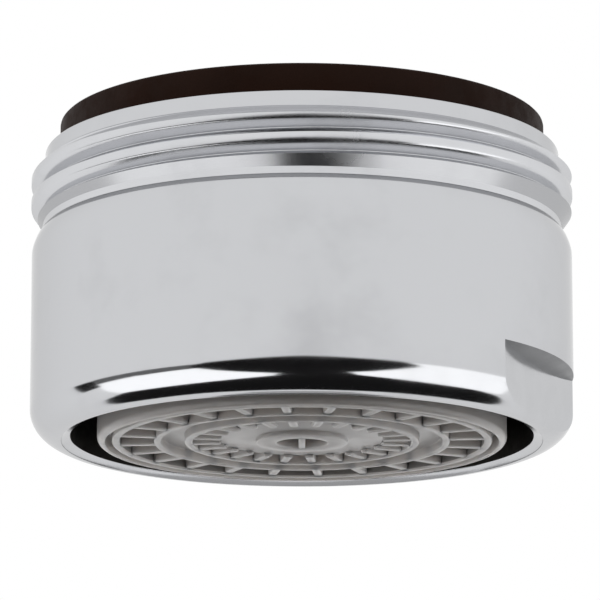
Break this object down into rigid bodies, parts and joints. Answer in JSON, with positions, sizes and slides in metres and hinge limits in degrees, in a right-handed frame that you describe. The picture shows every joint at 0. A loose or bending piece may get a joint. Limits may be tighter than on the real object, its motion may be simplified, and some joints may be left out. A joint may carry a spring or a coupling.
{
  "type": "tap aerator",
  "caption": "Round tap aerator: threaded chrome sleeve with spanner flats, rubber washer on top and a plastic insert with a ringed outlet grille that mixes air into the water.",
  "frame": {"origin": "on the axis, level with the insert's outlet rim on which the part stands", "axes": "+Z along the axis towards the thread and the washer; one spanner flat faces 21 degrees from +X towards -Y"},
  "size_m": [0.024, 0.024, 0.0144],
  "materials": {
    "chrome": "polished chrome on brass",
    "rubber": "matt dark rubber",
    "grey_plastic": "satin moulded plastic",
    "white_plastic": "satin moulded plastic",
    "steel_mesh": "fine wire"
  },
  "bodies": {
    "root": {"outlet_sleeve": "chrome", "sealing_washer": "rubber", "jet_housing": "white_plastic", "jet_plate": "white_plastic", "strainer_screen": "white_plastic", "mixing_screen_upper": "steel_mesh", "spacer_ring": "white_plastic", "mixing_screen_lower": "steel_mesh", "outlet_housing": "grey_plastic", "outlet_grille": "grey_plastic"}
  },
  "joints": []
}
